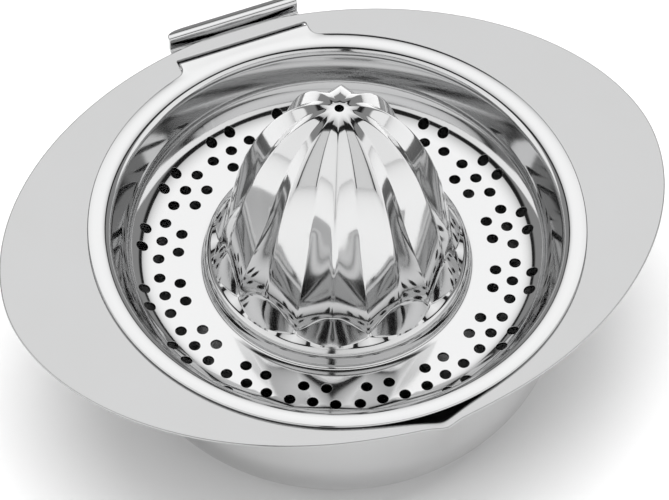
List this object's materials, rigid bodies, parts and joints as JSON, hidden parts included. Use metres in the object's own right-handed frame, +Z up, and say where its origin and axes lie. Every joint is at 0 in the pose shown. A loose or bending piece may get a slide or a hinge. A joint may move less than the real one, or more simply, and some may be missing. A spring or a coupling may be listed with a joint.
{
  "type": "hand citrus juicer",
  "caption": "Polished steel hand juicer: round pouring bowl with a wide oval flange and spout, and a perforated dish with a fluted reamer dome that hooks into the flange and tips up.",
  "frame": {"origin": "middle of the bowl's flat base, on the axis that the bowl, the dish and the dome share", "axes": "+Z up out of the bowl, +X along the long axis of the oval flange, +Y towards the slot and the strainer's tab, so that the pouring spout is at -Y"},
  "size_m": [0.1796, 0.1461, 0.1031],
  "materials": {
    "satin_steel": "stainless steel with a fine satin polish",
    "polished_steel": "stainless steel polished to a mirror"
  },
  "bodies": {
    "bowl": {"bowl": "satin_steel"},
    "strainer": {"strainer": "polished_steel"}
  },
  "joints": [
    {"name": "strainer_tip", "type": "hinge", "parent": "bowl", "child": "strainer", "pos_m": [0, 0.0682, 0.054], "axis": [-1, 0, 0], "range_deg": [0, 80]}
  ]
}
